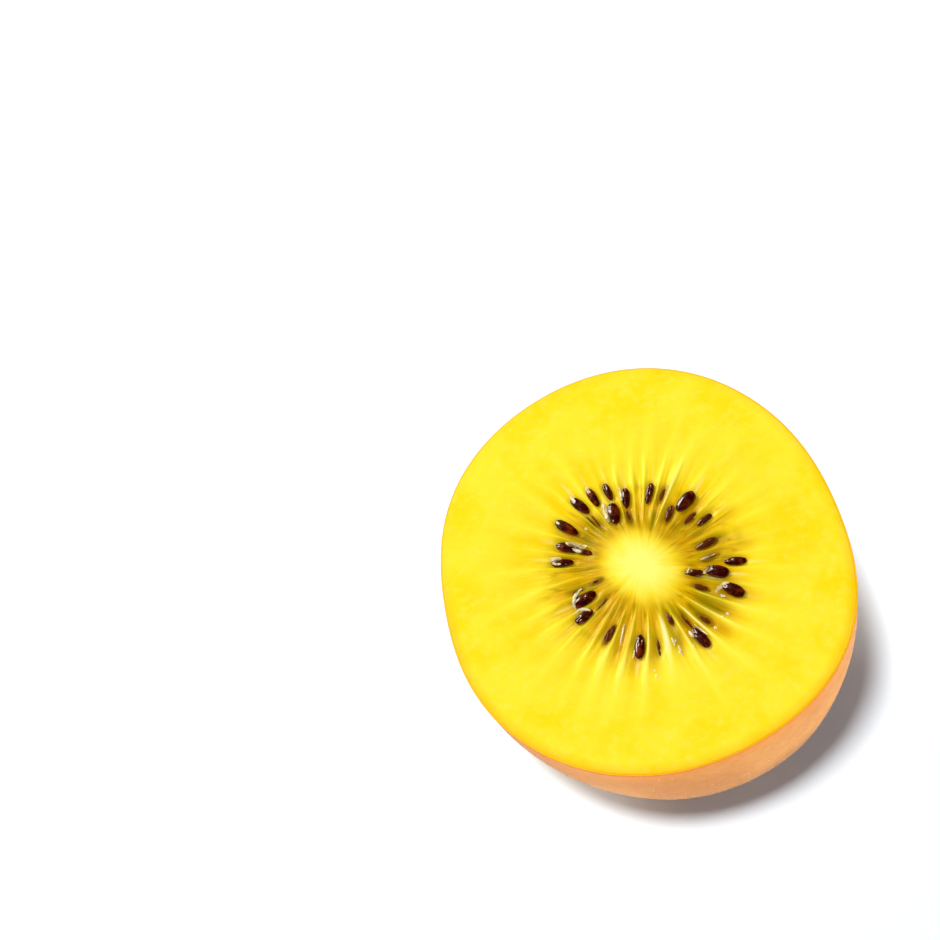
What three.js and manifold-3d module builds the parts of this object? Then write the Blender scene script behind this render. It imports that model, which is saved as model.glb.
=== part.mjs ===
// Half a golden kiwi fruit, cut across the middle, resting on its rounded end.
// Millimetres, +Z up. The origin is the centre of the small flat spot that it rests on.
//
// The fruit is made in its own frame first: the cut is the plane z = 0, the middle of the core is
// the origin, and the fruit's end points down. It is then leaned over and stood on its flat spot.

import * as THREE from 'three';
import { mergeVertices } from 'three/addons/utils/BufferGeometryUtils.js';
import Module from 'manifold-3d';

const manifold = await Module();
manifold.setup();

// ---- the fruit's size and stance ----
const MEAN_RADIUS = 27.4;       // of the cut
const DEPTH = 31;               // from the cut to the stem end
const LEAN = 10.3;              // degrees that the cut tips down towards -X
const CORE_AT = [-3.7, -0.5, 29.8]; // the middle of the cut, from the middle of the flat spot

// The outline of the cut is a circle with a few long waves: [waves per turn, height, angle of a crest]
const OUTLINE_WAVES = [[2, 1.87, -68.3], [3, 0.36, -19.9], [4, 0.28, -28.8], [6, 0.1, -26.8]];

// ---- the body's profile, a superellipse whose widest place is a little above the cut ----
const ABOVE_CUT = 5;            // from the widest place to the cut
const PROFILE_ALONG = 1.9;      // exponent along the fruit
const PROFILE_ACROSS = 2.8;     // exponent across it
const END_DRIFT = 6;            // the stem end lies this far off the middle, towards +X
const LUMP = 0.006;             // share of the radius that the sides swell and sink by

// ---- the cut face ----
const RIM_DROP = 0.2;           // the skin's edge lies this far below the cut
const CORE_RADIUS = 5.0;
const CORE_STRETCH = 0.9;       // the core is longer by this on its long axis, and shorter across it
const CORE_TURN = 135;          // direction of the core's long axis, degrees
const CORE_RISE = 0.3;
const CORE_SHOULDER = [0.4, 1.1]; // the core slopes down between these shares of its radius
const LOCULE_SINK = 0.45;       // depth of the hollows that hold the seeds
const LOCULE_WALL = 1.5;        // width of the slope from the core's edge down into a hollow
const LOCULE_FADE = [12, 18];   // distances from the core's middle between which the hollows run out

// Directions of the pale rays between the hollows, degrees round the core
const RAYS = [
  8, 17, 26, 34, 42, 52, 62, 71.5, 80.5, 88.5, 95.5, 102.5, 110.5, 119.5, 128.5, 139, 152, 165.5,
  176.5, 187.5, 202, 215, 226, 238.5, 250, 260.5, 274, 285.5, 298.5, 310.5, 321.5, 332.5, 345, 354,
];

// Seeds: [angle round the core, distance from its middle, turn from the radial line, length, width,
// height that stands out of the flesh], degrees and millimetres
const SEEDS = [
  [85.5, 10.5, -7, 3.1, 1.1, 0.4],
  [65.4, 8.0, 7, 2.8, 1.1, 0.3],
  [58.2, 10.3, -8, 3.4, 1.75, 0.65],
  [46.6, 8.7, 0, 2.6, 1.0, 0.3],
  [37.4, 9.8, 1, 2.4, 1.0, 0.35],
  [17.9, 8.4, 7, 3.2, 1.3, 0.35],
  [359, 11.6, -1, 2.9, 1.3, 0.45],
  [346.2, 6.8, 8, 2.4, 1.1, 0.4],
  [350.2, 9.7, -9, 3.2, 1.75, 0.65],
  [333, 8.3, 4, 2.6, 1.0, 0.3],
  [339, 12.0, -12, 3.3, 1.7, 0.65],
  [304.8, 12.7, 2, 3.4, 1.45, 0.6],
  [268.2, 11.0, -1, 3.4, 1.45, 0.6],
  [245.3, 9.8, -3, 3.1, 1.2, 0.35],
  [220.4, 9.6, -3, 2.7, 1.4, 0.55],
  [207.5, 8.2, 5, 3.3, 1.8, 0.65],
  [171, 10.3, 9, 2.9, 1.2, 0.45],
  [158.9, 10.2, 4, 3.2, 1.4, 0.55],
  [158.9, 7.7, 1, 2.2, 0.9, 0.3],
  [146, 11.7, -1, 3.6, 1.45, 0.6],
  [130, 12.4, 6, 3.3, 1.4, 0.6],
  [121, 12.3, -2, 3.1, 1.2, 0.5],
  [111.6, 12.0, 1, 2.7, 1.05, 0.45],
  [115.5, 8.9, -12, 3.3, 1.7, 0.65],
  [102, 10.3, -7, 3.0, 1.2, 0.5],
  [314, 11.1, 5, 2.6, 1.1, 0.25],
  [294.5, 8.2, -3, 2.2, 0.9, 0.25],
  [76, 10.4, -9, 2.6, 1.0, 0.2],
];

const SEED_THICKNESS = 0.62;    // of its width
const SEED_SIDES = 8;
// Egg shape along the seed: [share of the length from the middle, share of half the width]
const SEED_STATIONS = [[-0.5, 0], [-0.37, 0.5], [-0.08, 0.92], [0.22, 1], [0.43, 0.58], [0.5, 0]];

// ---- the stem end: a shallow dimple with a raised woody ring, as [radius, height] profiles ----
const STEM_SIDES = 24;
const DIMPLE_PROFILE = [[0, -0.85], [2, -0.7], [2.9, -0.3], [3.6, 0.5], [0, 0.5]];
const SCAR_PROFILE = [[0, -2], [1.8, -2], [1.8, -0.45], [1.5, -0.1], [1.15, -0.1], [0.8, -0.5], [0, -0.55]];

// ---- how finely the surfaces are divided ----
const COLUMNS_PER_RAY = 3;      // a ray's crest, and two in the hollow beside it
const FACE_RINGS = [0.08, 0.14, 0.19, 0.24, 0.3, 0.37, 0.44, 0.51, 0.59, 0.68, 0.8, 0.91, 0.98];
const SIDE_RINGS = 14;

const degrees = THREE.MathUtils.degToRad;
const smoothstep = THREE.MathUtils.smoothstep;

// Distance from the core's middle to the edge of the cut, in a direction in radians
function outlineRadius(angle) {
  let radius = MEAN_RADIUS;
  for (const [waves, height, crest] of OUTLINE_WAVES) {
    radius += height * Math.cos(waves * (angle - degrees(crest)));
  }
  return radius;
}

function coreRadius(angle) {
  return CORE_RADIUS + CORE_STRETCH * Math.cos(2 * (angle - degrees(CORE_TURN)));
}

// Directions of the columns of points: each ray, and evenly spaced steps to the next ray
function columnAngles() {
  const angles = [];
  RAYS.forEach((ray, i) => {
    const next = i + 1 < RAYS.length ? RAYS[i + 1] : RAYS[0] + 360;
    for (let k = 0; k < COLUMNS_PER_RAY; k++) {
      angles.push(degrees(ray + (next - ray) * k / COLUMNS_PER_RAY));
    }
  });
  return angles;
}

// 1 on a ray's crest and 0 from a third of the way to the next ray
function rayCrest(angle) {
  const turn = THREE.MathUtils.euclideanModulo(THREE.MathUtils.radToDeg(angle) - RAYS[0], 360) + RAYS[0];
  let before = RAYS[RAYS.length - 1] - 360;
  let after = RAYS[0] + 360;
  for (const ray of RAYS) {
    if (ray <= turn) before = ray;
    if (ray > turn) {
      after = ray;
      break;
    }
  }
  const nearest = Math.min(turn - before, after - turn);
  return Math.max(0, 1 - COLUMNS_PER_RAY * nearest / (after - before));
}

// Height of the cut face above the plane of the cut
function faceHeight(angle, radius) {
  const edge = coreRadius(angle);
  const core = 1 - smoothstep(radius, edge * CORE_SHOULDER[0], edge * CORE_SHOULDER[1]);
  const hollow = smoothstep(radius, edge, edge + LOCULE_WALL) * (1 - smoothstep(radius, ...LOCULE_FADE));
  return CORE_RISE * core - LOCULE_SINK * hollow * (1 - rayCrest(angle));
}

function polarPoint(angle, radius, height) {
  return new THREE.Vector3(radius * Math.cos(angle), radius * Math.sin(angle), height);
}

// Width of the body, as a share of its width at the cut, at an angle along the superellipse
function profileShare(angle) {
  const atCut = (1 - (ABOVE_CUT / (DEPTH + ABOVE_CUT)) ** PROFILE_ALONG) ** (1 / PROFILE_ACROSS);
  return Math.cos(angle) ** (2 / PROFILE_ACROSS) / atCut;
}

function profileDepth(angle) {
  return (DEPTH + ABOVE_CUT) * Math.sin(angle) ** (2 / PROFILE_ALONG) - ABOVE_CUT;
}

// Angle along the superellipse at which the body has reached a depth below the cut
function profileAngle(depth) {
  return Math.asin(((depth + ABOVE_CUT) / (DEPTH + ABOVE_CUT)) ** (PROFILE_ALONG / 2));
}

// How far the middle of the body lies off the fruit's axis at a depth; it bends mostly near the end
function endDrift(depth) {
  return END_DRIFT * (depth / DEPTH) ** 4;
}

// Gentle swelling of the sides, none at the cut or at the stem end
function lump(angle, depth) {
  const along = depth / DEPTH;
  const wave = Math.sin(2 * angle + 5 * along) + Math.sin(3 * angle - 4 * along + 2);
  return 1 + LUMP * wave * Math.sin(Math.PI * along);
}

function faceRing(share, angles) {
  return angles.map((angle) => {
    const radius = share * outlineRadius(angle);
    return polarPoint(angle, radius, faceHeight(angle, radius));
  });
}

function sideRing(along, angles) {
  const depth = profileDepth(along);
  return angles.map((angle) => {
    const radius = outlineRadius(angle) * profileShare(along) * lump(angle, depth);
    const point = polarPoint(angle, radius, -depth);
    point.x += endDrift(depth);
    return point;
  });
}

// A closed surface through rings of points, ordered from the top centre to the bottom centre
function ringedSurface(top, rings, bottom) {
  const count = rings[0].length;
  const points = [top, ...rings.flat(), bottom];
  const last = points.length - 1;
  const index = [];
  const at = (ring, column) => 1 + ring * count + (column % count);
  for (let column = 0; column < count; column++) {
    index.push(0, at(0, column), at(0, column + 1));
    for (let ring = 0; ring + 1 < rings.length; ring++) {
      const a = at(ring, column);
      const b = at(ring + 1, column);
      const c = at(ring + 1, column + 1);
      const d = at(ring, column + 1);
      index.push(a, b, c, a, c, d);
    }
    index.push(at(rings.length - 1, column), last, at(rings.length - 1, column + 1));
  }
  const geometry = new THREE.BufferGeometry().setFromPoints(points);
  geometry.setIndex(index);
  return geometry;
}

function bodyGeometry() {
  const angles = columnAngles();
  const rim = profileAngle(RIM_DROP);
  const rings = FACE_RINGS.map((share) => faceRing(share, angles));
  for (let i = 0; i < SIDE_RINGS; i++) {
    rings.push(sideRing(rim + (Math.PI / 2 - rim) * i / SIDE_RINGS, angles));
  }
  const top = new THREE.Vector3(0, 0, CORE_RISE);
  const bottom = new THREE.Vector3(END_DRIFT, 0, -DEPTH);
  return ringedSurface(top, rings, bottom);
}

// A turned shape from a [radius, height] profile that starts and ends on the axis
function turned(profile, sides) {
  const points = profile.map(([radius, height]) => new THREE.Vector2(radius, height));
  return new THREE.LatheGeometry(points, sides).rotateX(Math.PI / 2);
}

function seedGeometry([angle, distance, turn, length, width, standing]) {
  const profile = SEED_STATIONS.map(([along, across]) => [across * width / 2, along * length]);
  const radians = degrees(angle);
  const middle = faceHeight(radians, distance) + standing - SEED_THICKNESS * width / 2;
  const geometry = turned(profile, SEED_SIDES);
  geometry.rotateY(Math.PI / 2);
  geometry.scale(1, 1, SEED_THICKNESS);
  geometry.rotateZ(degrees(angle + turn));
  geometry.translate(distance * Math.cos(radians), distance * Math.sin(radians), middle);
  return geometry;
}

// A turned shape placed at the stem end, its heights measured outwards along the fruit's axis
function atStemEnd(profile) {
  return turned(profile, STEM_SIDES).rotateX(Math.PI).translate(END_DRIFT, 0, -DEPTH);
}

// A geometry as a solid that can be joined and cut
function solid(geometry) {
  const bare = geometry.clone();
  bare.deleteAttribute('normal');
  bare.deleteAttribute('uv');
  const merged = mergeVertices(bare, 1e-5);
  const index = merged.index.array;
  const kept = [];
  for (let i = 0; i < index.length; i += 3) {
    const [a, b, c] = [index[i], index[i + 1], index[i + 2]];
    if (a !== b && b !== c && c !== a) kept.push(a, b, c);
  }
  return new manifold.Manifold(new manifold.Mesh({
    numProp: 3,
    vertProperties: new Float32Array(merged.attributes.position.array),
    triVerts: new Uint32Array(kept),
  }));
}

function geometryOf(shape) {
  const mesh = shape.getMesh();
  const geometry = new THREE.BufferGeometry();
  geometry.setAttribute('position', new THREE.BufferAttribute(mesh.vertProperties, 3));
  geometry.setIndex(new THREE.BufferAttribute(mesh.triVerts, 1));
  return geometry;
}

function fruitGeometry() {
  let fruit = solid(bodyGeometry());
  for (const seed of SEEDS) {
    fruit = fruit.add(solid(seedGeometry(seed)));
  }
  fruit = fruit.subtract(solid(atStemEnd(DIMPLE_PROFILE)));
  fruit = fruit.add(solid(atStemEnd(SCAR_PROFILE)));
  return geometryOf(fruit);
}

// Leans the fruit, puts its core in place and cuts off what would reach below the surface it rests on
function stand(geometry) {
  geometry.rotateY(-degrees(LEAN)).translate(...CORE_AT);
  const size = 4 * MEAN_RADIUS;
  const below = new THREE.BoxGeometry(size, size, size).translate(0, 0, -size / 2);
  return geometryOf(solid(geometry).subtract(solid(below)));
}

const flesh = new THREE.MeshStandardMaterial({ color: 0xf8d92a, roughness: 0.35, metalness: 0 });
const half = new THREE.Mesh(stand(fruitGeometry()), flesh);
half.name = 'kiwi_half';

const kiwi = new THREE.Group();
kiwi.add(half);

export default kiwi;
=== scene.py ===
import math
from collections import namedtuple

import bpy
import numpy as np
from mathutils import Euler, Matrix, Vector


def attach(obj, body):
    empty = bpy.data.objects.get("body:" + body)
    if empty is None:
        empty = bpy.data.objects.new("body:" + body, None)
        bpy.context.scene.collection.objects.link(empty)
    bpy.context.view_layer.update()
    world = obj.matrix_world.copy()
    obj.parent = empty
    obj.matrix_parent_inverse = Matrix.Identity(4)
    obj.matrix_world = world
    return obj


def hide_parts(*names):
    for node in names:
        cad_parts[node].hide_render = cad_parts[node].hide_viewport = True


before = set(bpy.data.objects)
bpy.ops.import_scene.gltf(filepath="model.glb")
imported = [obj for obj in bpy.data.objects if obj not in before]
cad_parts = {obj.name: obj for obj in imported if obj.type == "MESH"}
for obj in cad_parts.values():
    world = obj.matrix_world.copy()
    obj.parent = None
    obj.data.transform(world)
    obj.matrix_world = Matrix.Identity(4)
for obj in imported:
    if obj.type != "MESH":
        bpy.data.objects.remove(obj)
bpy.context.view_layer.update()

# Half a golden kiwi fruit, cut across the middle and resting on its rounded end.
#
# Its pieces are the flesh with the cut face, the skin round it, the pale specks on the skin, the seeds,
# the slips of wet pulp and the beads of juice on the cut, whose pale colours are partly painted
# highlight, and the woody scar at the stem end. They are made in the fruit's own frame, in millimetres:
# the cut is the plane z = 0, the middle of the core is the origin and the stem end points down. Each
# piece is then leaned over, put in its place and turned into metres.

MM = 0.001
TURN = 2 * math.pi

# ---- the fruit's size and stance, as in the frame ----
SIZES = {
    "Mean Radius": 27.4,        # of the cut
    "Depth": 31.0,              # from the cut to the stem end
    "Above Cut": 5.0,           # from the widest place to the cut
    "Profile Along": 1.9,       # exponents of the superellipse that the side follows
    "Profile Across": 2.8,
    "End Drift": 6.0,           # the stem end lies this far off the middle, towards +X
    "Lump": 0.006,              # share of the radius that the sides swell and sink by
    "Dimple": 0.85,             # depth of the hollow at the stem end
}
LEAN = math.radians(10.3)
CORE_AT = (-3.7, -0.5, 29.8)
# The outline of the cut is a circle with a few long waves: (waves a turn, height, angle of a crest)
OUTLINE_WAVES = ((2, 1.87, -68.3), (3, 0.36, -19.9), (4, 0.28, -28.8), (6, 0.1, -26.8))
DIMPLE_REACH = (1.5, 3.6)       # distances from the stem over which the hollow rises to the side

# ---- the cut face ----
RIM_DROP = 0.15                 # the skin's edge lies this far below the cut
SKIN_WALL = 0.28
CLEARANCE = 0.03                # what shows stays this far inside the frame's surface
LAP = 0.09                      # the flesh laps this far over the skin's cut edge
FLESH_SHARE = 1 - (SKIN_WALL + CLEARANCE) / SIZES["Mean Radius"]    # of the body that the flesh fills
SHARP = math.radians(50)        # an edge that turns by more than this is crisp
WELD = 0.003                    # points closer than this become one
CORE_RADIUS = 5.0
CORE_STRETCH = 0.9              # the oval core is this much longer along its turn, and shorter across
CORE_TURN = math.radians(135)
CORE_RISE = 0.3
HOLLOW_SINK = 0.36
HOLLOW_WALL = 3.2               # width of the slope from the core down into the seed hollows
HOLLOW_FADE = (12, 18)          # distances over which the hollows rise to the plain flesh
HOLLOW_REACH = 11.3             # of their colour, and how much further it goes on one side
FURTHER = 3.1
FURTHER_SIDE = math.radians(305)
# Painted highlights on the wet flesh beyond the outer end of each seed: their length, width and swing
SEED_END_HIGHLIGHT_LENGTH = 2.0
SEED_END_HIGHLIGHT_WIDTH = 0.22                # share of its seed's width
SEED_END_HIGHLIGHT_SWING = math.radians(1)     # the painted highlights point this far to one side of their seeds

# Noise in cells that run outwards: (seed, cells to a turn, length of a cell)
STRANDS = {
    "fine relief": (11, 300, 3.0),
    "coarse relief": (12, 150, 4.0),
    "broad relief": (13, 40, 2.5),
    "fine": (21, 260, 5.0),
    "middle": (22, 120, 4.0),
    "slow": (23, 34, 3.5),
    "patch": (24, 72, 1.4),
    "fibres": (25, 96, 4.5),
    "threads": (26, 110, 5.0),
}
STRAND_CELLS = 64               # cells outwards, more than any of them needs

# Pale rays between the seed hollows: (direction at RAY_MARK, sweep in degrees a millimetre outwards,
# half width at RAY_MARK, paleness, distance at which it has run out)
RAY_MARK = 12.0
RAY_START = (4.6, 9.0)          # distances over which the rays come up from the core
RAY_THIN = 0.12                 # share of its width that a ray would have at the core's middle
RAY_FLARE = 1.6
Ray = namedtuple("Ray", "direction sweep half_width paleness reach")
RAYS = tuple(Ray(*row) for row in (
    (4, 0, 0.45, 0.35, 18), (12, 0, 0.4, 0.25, 17), (24, 0, 0.5, 0.35, 18), (35, 0.1, 0.5, 0.3, 18),
    (45, 0.1, 0.5, 0.35, 18), (58.5, 0, 0.5, 0.4, 18), (71.8, -0.3, 0.45, 0.9, 19),
    (80, -0.35, 0.35, 0.6, 19), (88.9, -0.1, 0.4, 0.65, 19), (96, -0.15, 0.4, 0.6, 18),
    (105.3, -0.55, 0.4, 0.65, 19), (110.5, -0.2, 0.25, 0.35, 17), (115.2, 0, 0.25, 0.4, 17),
    (124, 0, 0.4, 0.6, 20), (133.8, 0, 0.35, 0.5, 18), (142.3, 0, 0.3, 0.35, 18),
    (153.9, 0.2, 0.4, 0.5, 19), (164.5, 0.3, 0.35, 0.5, 16), (176, 0.3, 0.4, 0.5, 19),
    (188.8, 0.85, 0.6, 0.6, 19), (202.5, 0.4, 0.7, 0.45, 19), (214.7, 0.1, 0.7, 0.45, 18),
    (226.2, 0.2, 0.55, 0.5, 19), (238, 0.3, 0.4, 0.4, 19), (249.5, -0.1, 0.5, 0.75, 21),
    (260.2, -0.35, 0.55, 0.85, 21), (273.2, -0.5, 0.5, 0.8, 21), (285.2, -0.5, 1.1, 1.0, 18),
    (297.7, -0.05, 0.45, 1.0, 20), (310, 0.25, 0.4, 1.0, 21), (320.6, 0.4, 0.45, 0.9, 19),
    (331, 0.4, 0.5, 0.8, 20), (344, 0.2, 0.4, 0.4, 18), (354.5, 0, 0.4, 0.35, 18),
))

# Seeds: (angle round the core, distance from its middle, turn from the radial line, length, width,
# height standing out of the flesh, how deep under the wet pulp it looks from 0 to 1)
Seed = namedtuple("Seed", "at distance turn length width standing sunk")
SEEDS = tuple(Seed(*row) for row in (
    (85.5, 10.5, -7, 3.1, 1.1, 0.4, 0.25), (65.4, 8.0, 7, 2.8, 1.1, 0.28, 0.6),
    (58.2, 10.3, -8, 3.4, 1.75, 0.65, 0), (46.6, 8.7, 0, 2.6, 1.05, 0.22, 0.8),
    (37.4, 9.8, 1, 2.4, 1.0, 0.35, 0.3), (17.9, 8.4, 7, 3.2, 1.35, 0.35, 0.45),
    (359, 11.6, -1, 2.9, 1.3, 0.45, 0), (346.8, 6.6, 8, 2.5, 1.1, 0.4, 0.1),
    (351.2, 9.4, -7, 3.2, 1.75, 0.65, 0), (334, 8.0, 4, 2.4, 0.95, 0.25, 0.6),
    (339.8, 12.0, -12, 3.3, 1.7, 0.65, 0), (304.8, 12.7, 2, 3.4, 1.45, 0.6, 0),
    (268.2, 11.0, -1, 3.4, 1.45, 0.6, 0), (245.3, 9.8, -3, 3.2, 1.25, 0.28, 0.7),
    (220.4, 9.6, -3, 2.7, 1.4, 0.55, 0), (207.5, 8.2, 5, 3.3, 1.8, 0.65, 0),
    (171, 10.3, 9, 2.9, 1.2, 0.45, 0), (158.9, 10.2, 4, 3.2, 1.4, 0.55, 0),
    (158.9, 7.7, 1, 2.2, 0.9, 0.3, 0.2), (146, 11.7, -1, 3.6, 1.45, 0.6, 0),
    (130, 12.4, 6, 3.3, 1.4, 0.6, 0), (121, 12.3, -2, 3.1, 1.2, 0.5, 0),
    (111.6, 12.0, 1, 2.7, 1.05, 0.45, 0), (114.6, 8.7, -12, 3.2, 1.7, 0.65, 0),
    (102, 10.3, -7, 3.0, 1.2, 0.5, 0), (314, 11.1, 5, 2.7, 1.1, 0.15, 0.85),
    (294.5, 8.2, -3, 2.4, 0.9, 0.2, 0.6), (76, 10.4, -9, 2.8, 1.1, 0.14, 0.9),
    (4.7, 8.5, 12, 2.4, 0.8, 0.12, 0.8), (304.3, 9.7, 0, 2.9, 0.5, 0.12, 0.6),
    (280, 11.5, 0, 2.7, 0.55, 0.12, 0.7), (198, 8.6, 7, 2.0, 0.7, 0.12, 0.9),
    (194.6, 5.95, 5, 1.8, 0.7, 0.1, 0.95), (222, 6.7, 6, 2.5, 0.3, 0.08, 0.4),
    (103.8, 7.6, 2, 2.4, 0.7, 0.12, 0.9), (129.6, 9.3, -5, 2.5, 0.28, 0.08, 0.4),
    (132.6, 9.6, -5, 2.5, 0.28, 0.08, 0.4),
))
SEED_THICKNESS = 0.62           # share of a seed's width
SUNK = 0.2                      # a seed deeper than this shows as a smudge in the flesh

# Bits of wet pulp that cling to the seeds, laid where the seeds catch highlights; their pale colour is
# partly painted highlight: (angle round the core, distance from its middle, turn from the radial line,
# length, width, height standing out of the flesh, how far its middle bows aside as a share of its length)
PULP_BITS = (
    (119.8, 9.4, -14, 2.7, 0.75, 0.42, 0), (117.6, 8.4, -10, 1.5, 0.4, 0.4, 0),
    (169.2, 11.2, 12, 1.3, 0.6, 0.5, 0), (173.0, 10.9, 0, 1.0, 0.3, 0.5, 0),
    (156.0, 9.5, 10, 1.9, 0.6, 0.62, 0), (159.6, 8.8, -8, 1.2, 0.5, 0.5, 0),
    (155.0, 8.4, 20, 1.2, 0.45, 0.35, 0), (130.5, 13.6, 0, 1.0, 0.45, 0.5, 0),
    (121.0, 13.4, 5, 0.9, 0.4, 0.45, 0), (104.6, 10.9, -4, 1.9, 0.35, 0.42, 0),
    (254.5, 9.6, 5, 2.9, 0.22, 0.22, 0), (264.9, 12.2, -5, 1.3, 0.22, 0.3, 0),
    (301.4, 11.7, 0, 0.9, 0.45, 0.5, 0), (333.4, 11.2, 0, 0.7, 0.35, 0.4, 0),
    (350.3, 8.1, 60, 0.9, 0.4, 0.5, 0), (347.6, 5.9, 80, 0.8, 0.26, 0.3, 0),
    (291.3, 12.9, 0, 1.4, 0.3, 0.2, 0), (289.6, 11.4, 0, 1.1, 0.25, 0.2, 0),
    (4.4, 8.2, 14, 1.9, 0.3, 0.2, 0), (307.6, 11.9, 8, 2.4, 0.2, 0.25, 0),
    (206.0, 8.93, 49.6, 2.8, 0.42, 0.56, -0.18), (217.9, 9.5, -25.6, 2.0, 0.42, 0.52, -0.22),
    (338.6, 10.74, 57.3, 1.9, 0.5, 0.5, 0.2),
)

# Greenish places between the seeds: (direction, distance, half spread in degrees, half length,
# strength)
OLIVE_PLACES = (
    (80, 6.6, 9, 1.8, 0.7), (104, 7.2, 6, 1.6, 0.8), (123, 8.2, 8, 2.0, 0.9), (138, 8.8, 9, 2.2, 0.9),
    (151, 8.8, 7, 2.0, 0.8), (176, 8.0, 5, 2.2, 0.7), (197, 7.6, 7, 2.8, 0.8), (216, 6.8, 7, 1.6, 0.6),
    (227, 8.6, 5, 2.0, 0.35), (252, 9.4, 5, 1.8, 0.4), (279, 11.0, 4, 2.2, 0.7), (292, 10.4, 5, 3.0, 0.9),
    (303, 8.6, 6, 2.0, 0.9), (316, 9.8, 6, 2.6, 0.9), (327, 10.4, 8, 3.0, 1.0), (340, 8.8, 8, 2.2, 0.9),
    (6, 8.6, 9, 2.0, 0.85), (18, 9.4, 8, 2.0, 0.7), (34, 8.6, 10, 1.8, 0.65), (56, 7.8, 8, 1.8, 0.6),
)

# Beads of juice on the cut, whose pale colour is partly painted glint: (across, away, radius)
JUICE_BEADS = (
    (10.5, -7.4, 0.2), (9.9, -7.9, 0.13), (9.0, -9.2, 0.2), (1.7, -15.2, 0.18), (1.5, -14.5, 0.13),
    (4.6, -12.2, 0.18), (4.0, -10.6, 0.2), (-7.2, 6.2, 0.2), (6.3, -11.6, 0.13), (-14.2, -2.4, 0.1),
)


# ---- node trees ----


def both_ways(operation):
    """An operator of a Field with the Field before it and, reflected, with the Field after it."""
    def forward(field, other):
        return field.tree.math(operation, field, other)

    def reflected(field, other):
        return field.tree.math(operation, other, field)

    return forward, reflected


class Field:
    """A number, colour or vector carried by a link of a node tree; sums on it add Math nodes."""

    __add__, __radd__ = both_ways("ADD")
    __sub__, __rsub__ = both_ways("SUBTRACT")
    __mul__, __rmul__ = both_ways("MULTIPLY")
    __truediv__, __rtruediv__ = both_ways("DIVIDE")
    __pow__, __rpow__ = both_ways("POWER")

    def __init__(self, tree, socket):
        self.tree = tree
        self.socket = socket

    def __neg__(self):
        return self * -1.0

    def output(self, name):
        """Another output of the node that this one comes from."""
        return Field(self.tree, self.socket.node.outputs[name])


class Tree:
    """A shader or geometry node tree while it is being built."""

    def __init__(self, tree):
        self.tree = tree

    def node(self, kind, settings=None, inputs=None, output=0):
        """Adds a node: its settings first, then the values or links of its sockets."""
        made = self.tree.nodes.new(kind)
        for name, value in (settings or {}).items():
            setattr(made, name, value)
        for key, value in (inputs or {}).items():
            self.feed(made.inputs[key], value)
        return Field(self, made.outputs[output])

    def feed(self, socket, value):
        """Links a value of the tree to a socket, or sets a plain value on it."""
        if isinstance(value, Field):
            self.tree.links.new(value.socket, socket)
        else:
            socket.default_value = value

    def math(self, operation, *values):
        return self.node("ShaderNodeMath", {"operation": operation}, dict(enumerate(values)))

    def scaled(self, vector, scale):
        settings = {"operation": "SCALE"}
        return self.node("ShaderNodeVectorMath", settings, {"Vector": vector, "Scale": scale})

    def stretched(self, vector, shares):
        """A vector with each of its numbers multiplied by its own share."""
        return self.node("ShaderNodeVectorMath", {"operation": "MULTIPLY"}, {0: vector, 1: shares})

    def vector(self, x, y, z):
        return self.node("ShaderNodeCombineXYZ", None, {"X": x, "Y": y, "Z": z})

    def parts(self, vector):
        """The three numbers of a vector."""
        split = self.node("ShaderNodeSeparateXYZ", None, {"Vector": vector})
        return split, split.output("Y"), split.output("Z")


# ---- rules that work on numbers, on arrays of numbers and on the values of a node tree ----


def cosine(x):
    return x.tree.math("COSINE", x) if isinstance(x, Field) else np.cos(x)


def sine(x):
    return x.tree.math("SINE", x) if isinstance(x, Field) else np.sin(x)


def smaller(a, b):
    return a.tree.math("MINIMUM", a, b) if isinstance(a, Field) else np.minimum(a, b)


def larger(a, b):
    return a.tree.math("MAXIMUM", a, b) if isinstance(a, Field) else np.maximum(a, b)


def smoothed(share):
    return share * share * (3 - 2 * share)


def rise(x, start, end):
    """0 before start and 1 after end, with a smooth slope between them."""
    if isinstance(x, Field):
        limits = {"Value": x, "From Min": start, "From Max": end}
        return x.tree.node("ShaderNodeMapRange", {"interpolation_type": "SMOOTHSTEP"}, limits)
    return smoothed(np.clip((x - start) / (end - start), 0, 1))


def fall(x, start, end):
    """1 before start and 0 after end, with a smooth slope between them."""
    return 1 - rise(x, start, end)


def outline_radius(angle, size):
    """Distance from the core's middle to the edge of the cut."""
    radius = size["Mean Radius"]
    for waves, height, crest in OUTLINE_WAVES:
        radius = radius + height * cosine((angle - math.radians(crest)) * waves)
    return radius


def profile_share(along, size):
    """Width of the body, as a share of its width at the cut, at an angle along the superellipse."""
    drop = size["Above Cut"] / (size["Depth"] + size["Above Cut"])
    at_cut = (1 - drop ** size["Profile Along"]) ** (1 / size["Profile Across"])
    return cosine(along) ** (2 / size["Profile Across"]) / at_cut


def profile_depth(along, size):
    height = size["Depth"] + size["Above Cut"]
    return height * sine(along) ** (2 / size["Profile Along"]) - size["Above Cut"]


def rim_angle(size):
    """Angle along the superellipse at the skin's edge."""
    reach = (RIM_DROP + size["Above Cut"]) / (size["Depth"] + size["Above Cut"])
    return math.asin(reach ** (size["Profile Along"] / 2))


def end_drift(depth, size):
    return size["End Drift"] * (depth / size["Depth"]) ** 4


def lump(angle, depth, size):
    """Gentle swelling of the sides, none at the cut or at the stem end."""
    along = depth / size["Depth"]
    wave = sine(angle * 2 + along * 5) + sine(angle * 3 - along * 4 + 2)
    return wave * sine(along * math.pi) * size["Lump"] + 1


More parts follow.
